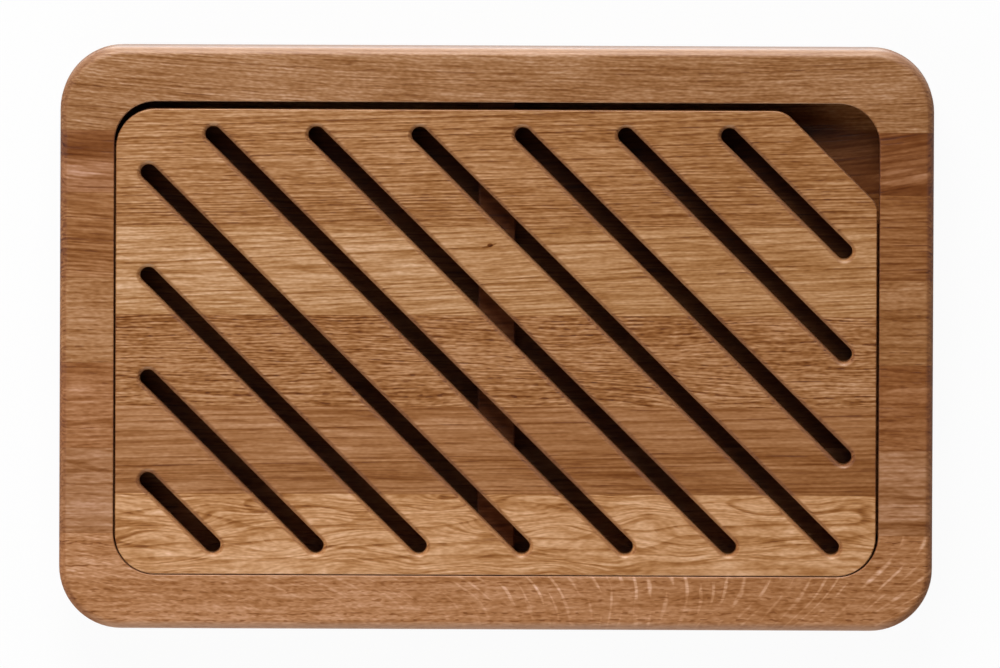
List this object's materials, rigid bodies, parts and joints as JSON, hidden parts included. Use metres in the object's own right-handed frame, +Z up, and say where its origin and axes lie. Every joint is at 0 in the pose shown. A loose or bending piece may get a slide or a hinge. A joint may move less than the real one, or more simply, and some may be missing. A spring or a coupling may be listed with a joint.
{
  "type": "bread board",
  "caption": "Oak bread board: a tray with a crumb pocket and a slotted grid that lifts out, one corner of it cut off for a finger.",
  "frame": {"origin": "middle of the tray's underside, which lies on the table", "axes": "+X along the board to the right, +Y across it to the back, +Z up out of the cutting face"},
  "size_m": [0.42, 0.28, 0.036],
  "materials": {
    "tray_oak": "planed, sanded and lightly oiled oak",
    "rest_oak": "planed and lightly oiled oak",
    "grid_oak": "planed, sanded and lightly oiled oak"
  },
  "bodies": {
    "tray": {"tray_stave_1": "tray_oak", "tray_stave_2": "tray_oak", "tray_stave_3": "tray_oak", "tray_stave_4": "tray_oak", "tray_stave_5": "tray_oak", "tray_stave_6": "tray_oak", "tray_stave_7": "tray_oak", "centre_rest": "rest_oak", "left_rest": "rest_oak", "right_rest": "rest_oak"},
    "grid": {"grid_stave_1": "grid_oak", "grid_stave_2": "grid_oak", "grid_stave_3": "grid_oak", "grid_stave_4": "grid_oak", "grid_stave_5": "grid_oak"}
  },
  "joints": [
    {"name": "grid_lift", "type": "slide", "parent": "tray", "child": "grid", "axis": [0, 0, 1], "range_m": [0, 0.06]}
  ]
}
